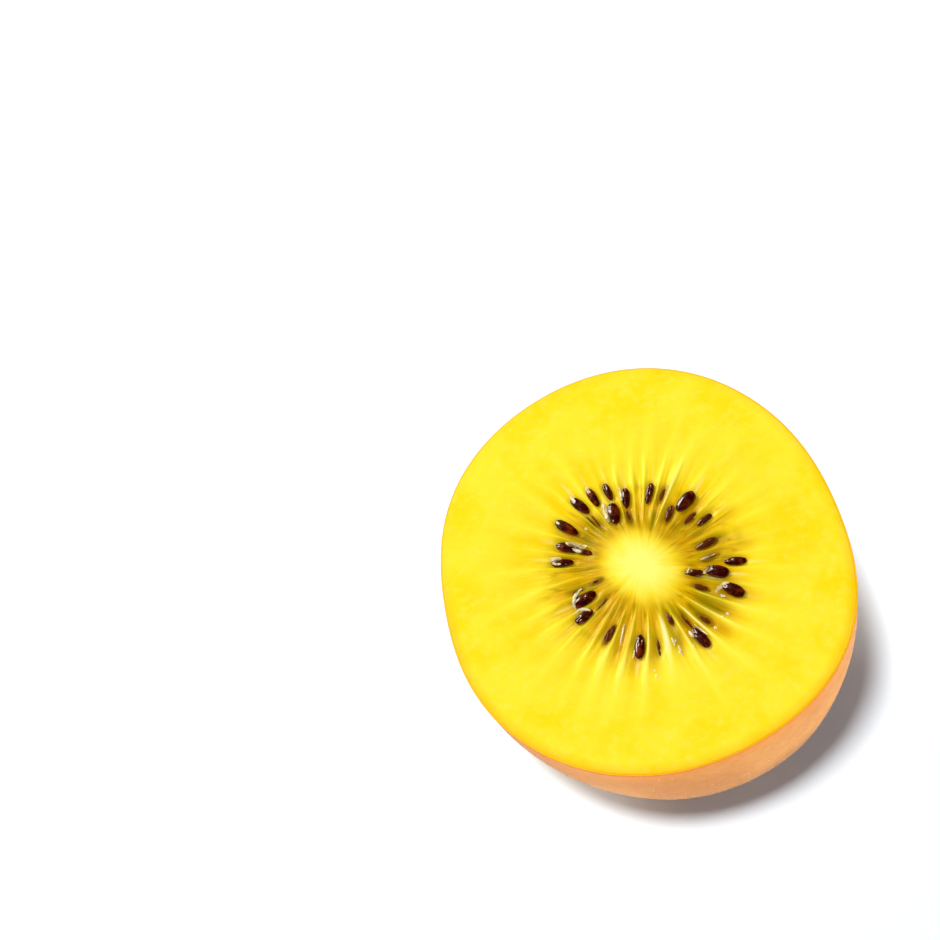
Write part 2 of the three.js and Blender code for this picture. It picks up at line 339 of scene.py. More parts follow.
def side_place(angle, along, size):
    """A place on the fruit's side as (across, away, up), with the hollow at the stem end."""
    depth = profile_depth(along, size)
    radius = outline_radius(angle, size) * profile_share(along, size) * lump(angle, depth, size)
    across = radius * cosine(angle) + end_drift(depth, size)
    away = radius * sine(angle)
    hollow = size["Depth"] - size["Dimple"] * fall(radius, *DIMPLE_REACH)
    return across, away, -smaller(depth, hollow)


# ---- the cut face's relief and markings, on arrays of angles and distances ----


def core_edge(angle):
    return CORE_RADIUS + CORE_STRETCH * np.cos(2 * (angle - CORE_TURN))


def turn_between(a, b):
    """The angle from b to a, from minus half a turn to half a turn."""
    return (a - b + math.pi) % TURN - math.pi


def strands(name, angle, radius):
    """Smooth noise from -1 to 1 in cells that run outwards."""
    seed, around, out = STRANDS[name]
    table = np.random.RandomState(seed).uniform(-1, 1, (around, STRAND_CELLS))
    column = angle / TURN * around % around
    row = radius / out
    left = np.floor(column).astype(int) % around
    right = (left + 1) % around
    inner = np.floor(row).astype(int)
    across = smoothed(column - np.floor(column))
    along = smoothed(row - inner)
    near = table[left, inner] * (1 - across) + table[right, inner] * across
    far = table[left, inner + 1] * (1 - across) + table[right, inner + 1] * across
    return near * (1 - along) + far * along


def lines(name, width, angle, radius):
    """Thin wandering lines that run outwards, 1 in their middle: where the strands are near 0."""
    return fall(np.abs(strands(name, angle, radius)), 0, width)


def one_ray(ray, angle, radius, widen):
    """How pale a ray makes a place: bright along its middle, with a faint edge and a faint outer end."""
    centre = math.radians(ray.direction) + math.radians(ray.sweep) * (radius - RAY_MARK)
    off = radius * np.abs(turn_between(angle, centre))
    width = widen * ray.half_width * (RAY_THIN + (1 - RAY_THIN) * (radius / RAY_MARK) ** RAY_FLARE)
    across = 0.5 * fall(off, 0, 0.7 * width) + 0.5 * fall(off, 0.1 * width, 1.9 * width)
    bright = fall(radius, ray.reach - 7, ray.reach + 1)
    faint = fall(radius, ray.reach - 3, ray.reach + 6)
    along = rise(radius, *RAY_START) * (0.5 * bright + 0.5 * faint)
    return ray.paleness * across * along


def ray_mask(angle, radius, widen=1.0):
    """How pale the rays make a place on the cut, from 0 to 1."""
    return np.max([one_ray(ray, angle, radius, widen) for ray in RAYS], axis=0)


def hollow_mask(angle, radius):
    """Where the flesh sinks into the seed hollows, from 0 to 1."""
    edge = core_edge(angle)
    return rise(radius, edge, edge + HOLLOW_WALL) * fall(radius, *HOLLOW_FADE)


def seed_oval(seed, angle, radius, half_length, half_width):
    """0 at a seed's middle and 1 on an oval of these half sizes round it, and more outside."""
    at = math.radians(seed.at)
    towards = math.radians(seed.at + seed.turn)
    x = radius * np.cos(angle) - seed.distance * math.cos(at)
    y = radius * np.sin(angle) - seed.distance * math.sin(at)
    along = (x * math.cos(towards) + y * math.sin(towards)) / half_length
    aside = (y * math.cos(towards) - x * math.sin(towards)) / half_width
    return along ** 2 + aside ** 2


def seed_spread(angle, radius, wide, long):
    """1 at a seed's middle, falling off round it; wide and long are added to its half sizes."""
    near = []
    for seed in SEEDS:
        off = seed_oval(seed, angle, radius, seed.length / 2 + long, seed.width / 2 + wide)
        near.append((1 - 0.5 * seed.sunk) * fall(off, 0.25, 1.4))
    return np.max(near, axis=0)


def smudge_mask(angle, radius):
    """The dim, soft-edged dark of the seeds that lie under the pulp, from 0 to 1."""
    dark = []
    for seed in SEEDS:
        if seed.sunk > SUNK:
            off = seed_oval(seed, angle, radius, 0.62 * seed.length, 0.5 * seed.width + 0.22)
            dark.append(seed.sunk * fall(off, 0.15, 1.2))
    return np.max(dark, axis=0)


def seed_end_highlight_mask(angle, radius):
    """The painted highlights on the wet flesh beyond the outer ends of the seeds, from 0 to 1."""
    pale = []
    for seed in SEEDS:
        out = (radius - seed.distance - seed.length / 2 - SEED_END_HIGHLIGHT_LENGTH / 2) / SEED_END_HIGHLIGHT_LENGTH
        aside = turn_between(angle, math.radians(seed.at) - SEED_END_HIGHLIGHT_SWING)
        off = radius * aside / (SEED_END_HIGHLIGHT_WIDTH * seed.width)
        pale.append((1 - seed.sunk) * fall(out ** 2 + off ** 2, 0.05, 1.0))
    return np.max(pale, axis=0)


def olive_mask(angle, radius):
    """The greenish places between the seeds, from 0 to 1."""
    olive = []
    for direction, distance, spread, length, strength in OLIVE_PLACES:
        off = turn_between(angle, math.radians(direction)) / math.radians(spread)
        out = (radius - distance) / length
        olive.append(strength * fall(off ** 2 + out ** 2, 0.1, 1.3))
    return np.max(olive, axis=0)


def face_height(angle, radius):
    """Height of the cut face above the plane of the cut, with its core, hollows and rays."""
    edge = core_edge(angle)
    ridge = np.minimum(1, 1.3 * ray_mask(angle, radius, 1.3))
    core = CORE_RISE * fall(radius, 0.4 * edge, 1.1 * edge)
    return core - HOLLOW_SINK * hollow_mask(angle, radius) * (1 - ridge)


def face_relief(angle, radius):
    """Fine strands in the hollows, a pocket at each seed and a faint unevenness further out, in mm."""
    fine = 0.035 * strands("fine relief", angle, radius) + 0.06 * strands("coarse relief", angle, radius)
    broad = 0.025 * strands("broad relief", angle, radius) * rise(radius, 6, 14)
    pocket = 0.16 * seed_spread(angle, radius, 0.45, 0.5)
    return (fine - pocket) * hollow_mask(angle, radius) + broad


Grain = namedtuple("Grain", "fine middle slow patch")


def marking_grain(angle, radius):
    """The streaks, from fine to slow, and the patches that the markings wander with."""
    return Grain(*(strands(name, angle, radius) for name in Grain._fields))


def core_mark(angle, radius, grain):
    """The cream core, with a ragged edge."""
    edge = core_edge(angle)
    ragged = radius + 0.35 * grain.fine + 0.3 * grain.slow + 0.4 * grain.patch
    return fall(ragged, 0.2 * edge, edge)


def colour_reach(angle, grain):
    """How far out the colour of the seed hollows goes."""
    return HOLLOW_REACH + FURTHER * (0.5 + 0.5 * np.cos(angle - FURTHER_SIDE)) ** 3 + 1.3 * grain.slow


def amber_mark(angle, radius, grain):
    """Deep amber in the seed hollows."""
    edge = core_edge(angle)
    reach = colour_reach(angle, grain)
    amber = rise(radius + 0.4 * grain.middle, 0.66 * edge, edge + 1.4)
    amber = amber * fall(radius, reach - 3.2, reach + 2.2)
    return np.clip(amber * (0.86 + 0.14 * grain.slow), 0, 1)


def gold_mark(angle, radius, grain):
    """Gold that fades outwards from the hollows, and reaches furthest between the rays."""
    edge = core_edge(angle)
    reach = colour_reach(angle, grain)
    wandering = radius + 2.0 * grain.middle + grain.slow
    between = 1 - np.minimum(1, 2.5 * ray_mask(angle, radius, 1.2))
    gold = np.maximum(fall(wandering, reach - 1.0, reach + 5.5), 0.75 * between * fall(wandering, 15, 23))
    return gold * rise(radius, edge, edge + 2) * (0.75 + 0.25 * grain.fine)


def wet_ring(angle, radius, grain):
    """The ring of wet, coloured flesh round the core."""
    edge = core_edge(angle)
    return rise(radius, edge - 0.3, edge + 0.8) * fall(radius + grain.middle, 10, 15)


def patch_mark(angle, radius, grain):
    """Dull patches in the wet ring."""
    return rise(grain.patch + 0.5 * grain.middle, -0.1, 0.8) * wet_ring(angle, radius, grain)


def fibre_mark(angle, radius, grain):
    """Dark fibres in the wet ring."""
    fibres = lines("fibres", 0.26, angle, radius)
    return fibres * (0.7 + 0.5 * grain.fine) * wet_ring(angle, radius, grain)


def thread_mark(angle, radius, grain):
    """Bright threads that run on beyond the hollows."""
    edge = core_edge(angle)
    threads = lines("threads", 0.24, angle, radius)
    along = rise(radius, edge - 0.5, edge + 1) * fall(radius, 13, 19)
    return threads * (0.6 + 0.5 * grain.middle) * along


def rind_mark(angle, radius):
    """The thin orange line where the flesh meets the skin, stronger on the front side, towards -Y."""
    to_skin = radius - outline_radius(angle, SIZES) + SKIN_WALL + CLEARANCE
    # stronger towards the front side, at -Y
    ripe = 0.35 + 0.65 * rise(-np.sin(angle), -0.3, 0.4)
    return (0.4 * rise(to_skin, -1, 0) + 0.6 * rise(to_skin, 0, 0.8 * LAP)) * ripe


def face_markings(angle, radius):
    """The markings of the cut face that its colours follow, each from 0 to 1."""
    grain = marking_grain(angle, radius)
    rays = ray_mask(angle, radius)
    wide_rays = ray_mask(angle, radius, 1.15)
    return {
        "core": core_mark(angle, radius, grain),
        "amber": amber_mark(angle, radius, grain),
        "gold": gold_mark(angle, radius, grain),
        "patch": patch_mark(angle, radius, grain),
        "ray": rays * (0.85 + 0.25 * grain.fine),
        "far_ray": wide_rays * rise(radius, 11, 15) * (0.9 + 0.2 * grain.fine),
        "fibres": fibre_mark(angle, radius, grain),
        "threads": thread_mark(angle, radius, grain),
        # painted highlight beyond each seed's outer end
        "seed_end_highlights": seed_end_highlight_mask(angle, radius) * np.clip(0.45 + 0.6 * grain.fine + 0.4 * grain.middle, 0, 1),
        # painted shade round each seed
        "shade": seed_spread(angle, radius, 0.3, 0.35),
        "smudge": smudge_mask(angle, radius),
        "olive": np.clip(olive_mask(angle, radius) * (0.8 + 0.5 * grain.middle), 0, 1),
        "rind": rind_mark(angle, radius),
    }


# ---- meshes ----


def stood_up(places):
    """Places in the fruit's frame, in mm, as places in the part's frame, in metres."""
    x, y, z = places[:, 0], places[:, 1], places[:, 2]
    across = x * math.cos(LEAN) - z * math.sin(LEAN) + CORE_AT[0]
    away = y + CORE_AT[1]
    up = x * math.sin(LEAN) + z * math.cos(LEAN) + CORE_AT[2]
    return np.stack([across, away, up], axis=1) * MM


def ringed_faces(rings, columns):
    """Faces of a closed surface through rings of points, from a top point to a bottom point."""
    faces = []
    last = 1 + rings * columns
    for column in range(columns):
        beside = (column + 1) % columns
        faces.append((0, 1 + column, 1 + beside))
        for ring in range(rings - 1):
            here = 1 + ring * columns
            below = here + columns
            faces.append((here + column, below + column, below + beside, here + beside))
        bottom = 1 + (rings - 1) * columns
        faces.append((bottom + column, last, bottom + beside))
    return faces


def new_piece(name, vertices, faces, finish):
    """A smooth mesh object at the origin."""
    mesh = bpy.data.meshes.new(name)
    mesh.from_pydata([tuple(v) for v in vertices], [], faces)
    mesh.materials.append(finish)
    mesh.polygons.foreach_set("use_smooth", [True] * len(mesh.polygons))
    mesh.update()
    piece = bpy.data.objects.new(name, mesh)
    bpy.context.scene.collection.objects.link(piece)
    return piece


def store(mesh, name, values):
    """Keeps one number a vertex on a mesh."""
    attribute = mesh.attributes.new(name, "FLOAT", "POINT")
    attribute.data.foreach_set("value", np.asarray(values, dtype=np.float32))


def ring_shares():
    """Distances of the cut's rings, as shares of the way to its edge: close together near the seeds."""
    step = 0.19
    radius = 0.35
    shares = []
    while radius < 0.97 * SIZES["Mean Radius"]:
        shares.append(radius / SIZES["Mean Radius"])
        radius += step if radius < 16 else step + 0.05 * (radius - 16)
    return np.array(shares + [0.985, 0.995, 1.0, 1.0])


def cut_rings(angles):
    """The cut face: the angles, distances and heights of its points. Its last ring laps over the skin."""
    angle, share = np.meshgrid(angles, ring_shares())
    radius = share * (outline_radius(angle, SIZES) - SKIN_WALL - CLEARANCE)
    height = face_height(angle, radius) + face_relief(angle, radius) - 0.05 * rise(share, 0.98, 1.0)
    radius[-1] += LAP
    height[-1] -= RIM_DROP
    return angle, radius, height


def side_rings(angles, rings):
    """Places on the flesh's plain side, under the skin."""
    along = np.linspace(rim_angle(SIZES), math.pi / 2, rings + 2)[1:-1]
    across, away, up = side_place(*np.meshgrid(angles, along), SIZES)
    drift = end_drift(-up, SIZES)
    across = (across - drift) * FLESH_SHARE + drift
    return np.stack([across, away * FLESH_SHARE, up * FLESH_SHARE], axis=2).reshape(-1, 3)


def flesh_piece(finish):
    """The flesh: the cut face in fine relief, and a plain side that lies against the skin."""
    columns = 720
    rings_below = 14
    angles = np.arange(columns) / columns * TURN
    angle, radius, height = cut_rings(angles)
    face = np.stack([radius * np.cos(angle), radius * np.sin(angle), height], axis=2).reshape(-1, 3)
    side = side_rings(angles, rings_below)
    top = np.array([[0, 0, CORE_RISE]])
    bottom = np.array([[SIZES["End Drift"], 0, (SIZES["Dimple"] - SIZES["Depth"]) * FLESH_SHARE]])
    vertices = stood_up(np.concatenate([top, face, side, bottom]))
    vertices[:, 2] = np.maximum(vertices[:, 2], (SKIN_WALL + CLEARANCE) * MM)
    piece = new_piece("flesh", vertices, ringed_faces(len(angle) + rings_below, columns), finish)
    piece.data.set_sharp_from_angle(angle=SHARP)
    for name, values in face_markings(angle.ravel(), radius.ravel()).items():
        at_top = [1.0 if name == "core" else 0.0]
        below = np.full(len(side) + 1, 1.0 if name == "rind" else 0.0)
        store(piece.data, name, np.concatenate([at_top, values, below]))
    return piece


# ---- pieces made with geometry nodes ----


class PieceTree(Tree):
    """A geometry node tree with named inputs, which turns a start mesh into one piece."""

    KINDS = {int: "NodeSocketInt", float: "NodeSocketFloat"}

    def __init__(self, name, sizes, start=None):
        super().__init__(bpy.data.node_groups.new(name, "GeometryNodeTree"))
        self.name = name
        self.start = start or bpy.data.meshes.new(name + "_start")
        interface = self.tree.interface
        interface.new_socket("Geometry", in_out="INPUT", socket_type="NodeSocketGeometry")
        interface.new_socket("Geometry", in_out="OUTPUT", socket_type="NodeSocketGeometry")
        self.values = {}
        for label, value in sizes.items():
            socket = interface.new_socket(label, in_out="INPUT", socket_type=self.KINDS[type(value)])
            self.values[socket.identifier] = value
        source = self.node("NodeGroupInput")
        self.geometry = source
        self.size = {label: source.output(label) for label in sizes}

    def placed(self, geometry):
        """Leans the fruit over, puts it in its place and turns millimetres into metres."""
        return self.node("GeometryNodeTransform", None, {
            "Geometry": geometry,
            "Translation": Vector(CORE_AT) * MM,
            "Rotation": Euler((0, -LEAN, 0)),
            "Scale": (MM, MM, MM),
        })

    def shaped(self, geometry, position):
        """Puts each point of the mesh in a place."""
        return self.node("GeometryNodeSetPosition", None, {"Geometry": geometry, "Position": position})

    def moved(self, geometry, offset):
        """Moves each point of the mesh by an offset."""
        return self.node("GeometryNodeSetPosition", None, {"Geometry": geometry, "Offset": offset})

    def flipped(self, geometry):
        return self.node("GeometryNodeFlipFaces", None, {"Mesh": geometry})

    def welded(self, geometry):
        return self.node("GeometryNodeMergeByDistance", None, {"Geometry": geometry, "Distance": WELD})

    def stored(self, geometry, name, value):
        """Keeps a number on each point of the mesh."""
        settings = {"data_type": "FLOAT", "domain": "POINT"}
        inputs = {"Geometry": geometry, "Name": name, "Value": value}
        return self.node("GeometryNodeStoreNamedAttribute", settings, inputs)

    def kept(self, name):
        """A number kept on the points of the mesh."""
        return self.node("GeometryNodeInputNamedAttribute", {"data_type": "FLOAT"}, {"Name": name})

    def normal(self):
        return self.node("GeometryNodeInputNormal")

    def position(self):
        return self.node("GeometryNodeInputPosition")

    def noise(self, scale, detail=2.0, vector=None):
        """Noise round 0, from about -0.5 to 0.5."""
        inputs = {"Scale": scale, "Detail": detail}
        if vector is not None:
            inputs["Vector"] = vector
        return self.node("ShaderNodeTexNoise", None, inputs) - 0.5

    def shaded(self, geometry):
        """Smooth all over, apart from its sharp edges."""
        inputs = {"Geometry": geometry, "Shade Smooth": True}
        smooth = self.node("GeometryNodeSetShadeSmooth", None, inputs)
        sharp = self.math("GREATER_THAN", self.node("GeometryNodeInputMeshEdgeAngle"), SHARP)
        inputs = {"Geometry": smooth, "Selection": sharp, "Shade Smooth": False}
        return self.node("GeometryNodeSetShadeSmooth", {"domain": "EDGE"}, inputs)

    def finished(self, geometry, finish):
        """Ends the tree and returns its result as a plain mesh object."""
        whole = self.node("GeometryNodeRealizeInstances", None, {"Geometry": geometry})
        inputs = {"Geometry": self.shaded(whole), "Material": finish}
        dressed = self.node("GeometryNodeSetMaterial", None, inputs)
        end = self.tree.nodes.new("NodeGroupOutput")
        self.feed(end.inputs["Geometry"], dressed)
        piece = bpy.data.objects.new(self.name, self.start)
        bpy.context.scene.collection.objects.link(piece)
        maker = piece.modifiers.new("shape", "NODES")
        maker.node_group = self.tree
        for identifier, value in self.values.items():
            maker[identifier] = value
        depsgraph = bpy.context.evaluated_depsgraph_get()
        mesh = bpy.data.meshes.new_from_object(piece.evaluated_get(depsgraph), depsgraph=depsgraph)
        piece.modifiers.clear()
        piece.data = mesh
        mesh.name = self.name
        return piece


def side_surface(tree, columns, rings, inner):
    """One surface over the fruit's side, from the skin's edge to the stem end, its seam and pole closed.
    Where inner is 1, its first ring is the skin's edge and the rest lies in from there by the wall."""
    size = tree.size
    grid = tree.node("GeometryNodeMeshGrid", None, {
        "Size X": 1.0, "Size Y": 1.0, "Vertices X": columns + 1, "Vertices Y": rings,
    })
    turned, down, _ = tree.parts(tree.position())
    angle = (turned + 0.5) * TURN
    row = (down + 0.5) * (rings - 1)
    run = larger((row - inner) / (rings - 1 - inner), 0.0)
    rim = rim_angle(SIZES)
    along = rim + (math.pi / 2 - rim) * (1 - (1 - run) ** 1.4)
    across, away, up = side_place(angle, along, size)
    inset = smaller(row, 1.0) * float(inner)
    share = 1 - inset * size["Wall"] / size["Mean Radius"]
    drift = end_drift(-up, size)
    place = tree.vector((across - drift) * share + drift, away * share, up * share)
    return tree.welded(tree.flipped(tree.shaped(tree.stored(grid, "inset", inset), place)))


def skin_shell(tree):
    """A thin closed shell round the flesh, cut off level with it, which keeps each point's depth."""
    size = tree.size
    outer = side_surface(tree, size["Columns"], size["Outer Rings"], 0)
    inner = side_surface(tree, size["Columns"], size["Inner Rings"], 1)
    joined = tree.node("GeometryNodeJoinGeometry")
    for surface in (tree.flipped(inner), outer):
        tree.feed(joined.socket.node.inputs["Geometry"], surface)
    _, _, up = tree.parts(tree.position())
    return tree.stored(tree.welded(joined), "depth", -up)


def skin_relief(tree):
    """Shallow dents and wrinkles of the shell's outer side, which never stand out of the frame and are
    none at the cut."""
    size = tree.size
    position = tree.position()
    _, _, up = tree.parts(position)
    off_rim = rise(-up, RIM_DROP + 0.2, RIM_DROP + 2.5)
    dents = (tree.noise(0.09) - 0.4) * size["Dent Height"]
    wrinkles = tree.noise(0.9, 3.0, tree.stretched(position, (1.0, 1.0, 0.45))) * size["Wrinkle Height"]
    return ((dents + wrinkles) * off_rim - CLEARANCE) * (1 - tree.kept("inset"))


def skin_piece(finish):
    """The skin, flat where it rests."""
    sizes = {
        "Columns": 420, "Outer Rings": 110, "Inner Rings": 20, "Wall": SKIN_WALL,
        "Dent Height": 0.22, "Wrinkle Height": 0.05, **SIZES,
    }
    tree = PieceTree("skin", sizes)
    worn = tree.moved(skin_shell(tree), tree.scaled(tree.normal(), skin_relief(tree)))
    x, y, z = tree.parts(tree.position())
    floor_height = tree.kept("inset") * tree.size["Wall"] * MM
    flat = tree.shaped(tree.placed(worn), tree.vector(x, y, larger(z, floor_height)))
    return tree.finished(flat, finish)


def lying_points(name, angle, distance, direction, sizes, standing):
    """One point for each small thing that lies on the cut, in the fruit's frame, carrying its direction
    and its length, width and thickness. Its highest place stands so far out of the flesh."""
    length, width, thickness = sizes
    middle = face_height(angle, distance) + standing - thickness / 2
    mesh = bpy.data.meshes.new(name)
    places = np.stack([distance * np.cos(angle), distance * np.sin(angle), middle], axis=1)
    mesh.from_pydata([tuple(p) for p in places], [], [])
    store(mesh, "direction", direction)
    store(mesh, "length", length)
    store(mesh, "width", width)
    store(mesh, "thickness", thickness)
    return mesh


def laid_eggs(tree):
    """An egg shape laid at each point, its blunt end outwards, sized and turned as the point says."""
    size = tree.size
    ball = tree.node("GeometryNodeMeshUVSphere", None, {
        "Segments": size["Segments"], "Rings": size["Rings"], "Radius": 1.0,
    })
    x, y, z = tree.parts(tree.position())
    swell = (z * size["Blunt End"] + z ** 4 * size["Full Ends"] + 1) * 0.5
    egg = tree.shaped(tree.stored(ball, "crown", y), tree.vector(z * 0.5, x * swell, y * swell))
    direction = tree.vector(0.0, 0.0, tree.kept("direction"))
    laid = tree.node("GeometryNodeInstanceOnPoints", None, {
        "Points": tree.geometry,
        "Instance": egg,
        "Rotation": tree.node("FunctionNodeEulerToRotation", None, {"Euler": direction}),
        "Scale": tree.vector(tree.kept("length"), tree.kept("width"), tree.kept("thickness")),
    })
    return tree.node("GeometryNodeRealizeInstances", None, {"Geometry": laid})


def seed_pits(tree):
    """The pits of a seed's coat, stretched along it: 1 at the bottom of a pit."""
    size = tree.size
    x, y, z = tree.parts(tree.position())
    direction = tree.kept("direction")
    along = x * cosine(direction) + y * sine(direction)
    aside = y * cosine(direction) - x * sine(direction)
    cells = tree.node("ShaderNodeTexVoronoi", {"feature": "SMOOTH_F1"}, {
        "Vector": tree.vector(along * size["Pit Stretch"], aside, z), "Scale": size["Pits a mm"],
        "Smoothness": 0.4,
    })
    return fall(cells, 0.1, 0.5)


def seeds_piece(finish):
    """The seeds: egg-shaped, flattened and pitted, each turned as it grew."""
    at, distance, turn, length, width, standing, sunk = np.array(SEEDS, dtype=float).T
    thickness = width * SEED_THICKNESS
    angle = np.radians(at)
    direction = angle + np.radians(turn)
    points = lying_points("seed_points", angle, distance, direction, (length, width, thickness), standing)
    store(points, "sunk", sunk)
    store(points, "waterline", 1 - 2 * standing / thickness)
    sizes = {
        "Segments": 48, "Rings": 36, "Blunt End": 0.14, "Full Ends": 0.2,
        "Pits a mm": 2.7, "Pit Stretch": 0.35, "Pit Depth": 0.1, "Unevenness": 0.1,
    }
    tree = PieceTree("seeds", sizes, points)
    size = tree.size
    relief = (tree.noise(1.1) - 0.4) * size["Unevenness"] - seed_pits(tree) * size["Pit Depth"]
    pitted = tree.moved(laid_eggs(tree), tree.scaled(tree.normal(), relief))
    return tree.finished(tree.placed(pitted), finish)


def pulp_drops(draws):
    """Drops strung along each slip of pulp: their places in the fruit's frame and their radii."""
    places, radii = [], []
    for at, distance, turn, length, width, standing, bow in PULP_BITS:
        towards = math.radians(at + turn)
        middle = (distance * math.cos(math.radians(at)), distance * math.sin(math.radians(at)))
        count = max(5, round(7 * length / width))
        for step in np.linspace(-0.5, 0.5, count):
            radius = width / 2 * draws.uniform(0.85, 1.05) * (1 - 1.9 * step ** 2)
            aside = width * draws.uniform(-0.12, 0.12) + bow * length * (1 - 4 * step ** 2)
            x = middle[0] + math.cos(towards) * step * length - math.sin(towards) * aside
            y = middle[1] + math.sin(towards) * step * length + math.cos(towards) * aside
            ground = face_height(np.array([math.atan2(y, x)]), np.array([math.hypot(x, y)]))[0]
            places.append((x, y, ground + standing - radius))
            radii.append(radius)
    return places, radii


def pulp_bits_piece(finish):
    """Slips of wet pulp that cling beside the seeds, pale partly as painted highlight: drops run
    together.
    """
    places, radii = pulp_drops(np.random.RandomState(3))
    drops = bpy.data.meshes.new("pulp_drops")
    drops.from_pydata(places, [], [])
    store(drops, "radius", radii)
    sizes = {"Fineness": 0.06, "Crumple": 0.04}
    tree = PieceTree("pulp_bits", sizes, drops)
    points = tree.node("GeometryNodeMeshToPoints", None, {
        "Mesh": tree.geometry, "Radius": tree.kept("radius"),
    })
    filled = tree.node("GeometryNodePointsToVolume", {"resolution_mode": "VOXEL_SIZE"}, {
        "Points": points,
        "Voxel Size": tree.size["Fineness"],
        "Radius": tree.node("GeometryNodeInputRadius"),
    })
    fused = tree.node("GeometryNodeVolumeToMesh", {"resolution_mode": "VOXEL_SIZE"}, {
        "Volume": filled, "Voxel Size": tree.size["Fineness"], "Threshold": 0.1,
    })
    crumpled = tree.scaled(tree.normal(), tree.noise(1.8) * tree.size["Crumple"])
    return tree.finished(tree.placed(tree.moved(fused, crumpled)), finish)


def juice_beads_piece(finish):
    """Small flattened beads of clear juice on the cut, whose pale colour is partly painted glint."""
    across, away, radius = np.array(JUICE_BEADS, dtype=float).T
    angle = np.arctan2(away, across)
    ovals = (radius * 2.4, radius * 2, radius * 1.2)
    points = lying_points("bead_points", angle, np.hypot(across, away), angle, ovals, radius * 0.5)
    sizes = {"Segments": 20, "Rings": 12, "Blunt End": 0.0, "Full Ends": 0.0, "Wobble": 0.1}
    tree = PieceTree("juice_beads", sizes, points)
    bent = tree.scaled(tree.normal(), tree.noise(3.0) * tree.size["Wobble"])
    return tree.finished(tree.placed(tree.moved(laid_eggs(tree), bent)), finish)


def speck_places(tree):
    """Points over the skin's outer side, crowded low down and few towards the cut."""
    size = tree.size
    _, _, z = tree.parts(tree.position())
    outside = tree.math("LESS_THAN", tree.kept("inset"), 0.001)
    off_floor = tree.math("GREATER_THAN", z, size["Clear of Floor"])
    off_rim = tree.math("GREATER_THAN", tree.kept("depth"), size["Clear of Rim"])
    crowding = fall(z, size["Dense Below"], size["Few Above"]) + size["Fewest"]
    return tree.node("GeometryNodeDistributePointsOnFaces", {"distribute_method": "RANDOM"}, {
        "Mesh": tree.geometry,
        "Selection": outside * off_floor * off_rim,
        "Density": size["Specks a Square mm"] * (1 / MM ** 2) * crowding,
        "Seed": size["Seed"],
    })


def skin_specks_piece(skin, finish):
    """Tiny raised specks scattered over the skin."""
    sizes = {
        "Specks a Square mm": 2.1, "Smallest": 0.045, "Largest": 0.16, "Flatness": 0.3,
        "Clear of Floor": 0.4 * MM, "Clear of Rim": 2.0,
        "Dense Below": 15.0 * MM, "Few Above": 25.0 * MM, "Fewest": 0.08, "Seed": 7,
    }
    tree = PieceTree("skin_specks", sizes, skin.data.copy())
    size = tree.size
    places = speck_places(tree)
    dot = tree.node("GeometryNodeMeshIcoSphere", None, {"Radius": 1.0, "Subdivisions": 1})
    chance = tree.node("FunctionNodeRandomValue", {"data_type": "FLOAT"}, {"Seed": size["Seed"]}, 1)
    width = (size["Smallest"] + (size["Largest"] - size["Smallest"]) * chance ** 2) * MM
    laid = tree.node("GeometryNodeInstanceOnPoints", None, {
        "Points": places,
        "Instance": dot,
        "Rotation": places.output("Rotation"),
        "Scale": tree.vector(width, width * 1.3, width * size["Flatness"]),
    })
    return tree.finished(laid, finish)


def stem_scar_piece(finish):
    """The woody ring and plug that the stem leaves in the hollow at the fruit's end."""
    profile = (
        (1.0, -1.6), (1.85, -1.4), (1.85, -0.5), (1.7, -0.25), (1.45, -0.12), (1.2, -0.15), (1.0, -0.35),
        (0.75, -0.55), (0.4, -0.5),
    )
    columns = 72
    rings = len(profile)
    angles = np.arange(columns) / columns * TURN
    rough = np.random.RandomState(5).uniform(-1, 1, (rings, columns))
    rough = (rough + np.roll(rough, 1, axis=1) + np.roll(rough, -1, axis=1)) / 3
    places = [(0, 0, 1.6)]
    for ring, (radius, height) in enumerate(profile):
        wavy = radius * (1 + 0.05 * np.sin(3 * angles + 1) + 0.06 * rough[ring])
        up = -height - 0.09 * rough[ring] * (1 if ring > 2 else 0)
        places.extend(zip(wavy * np.cos(angles), wavy * np.sin(angles), up))
    places.append((0, 0, 0.5))
    places = np.array(places) + np.array([[SIZES["End Drift"], 0, -SIZES["Depth"]]])
    return new_piece("stem_scar", stood_up(places), ringed_faces(rings, columns), finish)


# ---- finishes ----


# Colours as screen values from 0 to 255
TONES = {
    # the flesh
    "lemon": (231, 208, 44), "ripe yellow": (231, 200, 16), "pale fleck": (231, 213, 80),
    "gold": (226, 180, 2), "amber": (186, 130, 0), "ochre": (146, 122, 0), "olive": (116, 102, 0),
    "brown fibre": (112, 88, 0), "bright thread": (222, 184, 6), "seed shade": (104, 66, 0),
    "dark smudge": (92, 62, 0), "ray yellow": (233, 211, 30), "ray cream": (236, 222, 146),
    "far ray": (234, 214, 62), "seed end highlight": (231, 214, 124), "core cream": (230, 223, 108),
    "orange rind": (228, 138, 2),
    # the skin and its specks
    "light peach": (219, 141, 58), "dark peach": (205, 123, 40), "light bronze": (178, 112, 34),
    "dark bronze": (134, 78, 16), "brown mottle": (140, 78, 24), "pale pore": (226, 172, 104),
    "warm peach": (224, 128, 24), "orange edge": (222, 118, 0), "cut skin": (230, 178, 10),
    "pale speck": (232, 178, 104), "gold speck": (206, 140, 66),
    # the seeds, the pulp and the juice; the pale pulp and juice colours are partly painted highlight
    "maroon": (48, 1, 0), "red brown": (110, 36, 2), "sunk brown": (84, 36, 0),
    "sunk edge": (148, 108, 0), "pulp": (234, 212, 142), "pale pulp": (250, 240, 208),
    "juice": (255, 246, 170), "pale juice": (255, 252, 214),
    # the stem scar and the floor
    "dark wood": (74, 46, 24), "light wood": (138, 100, 58), "floor": (241, 248, 253),
    "pale floor": (243, 249, 254),
}


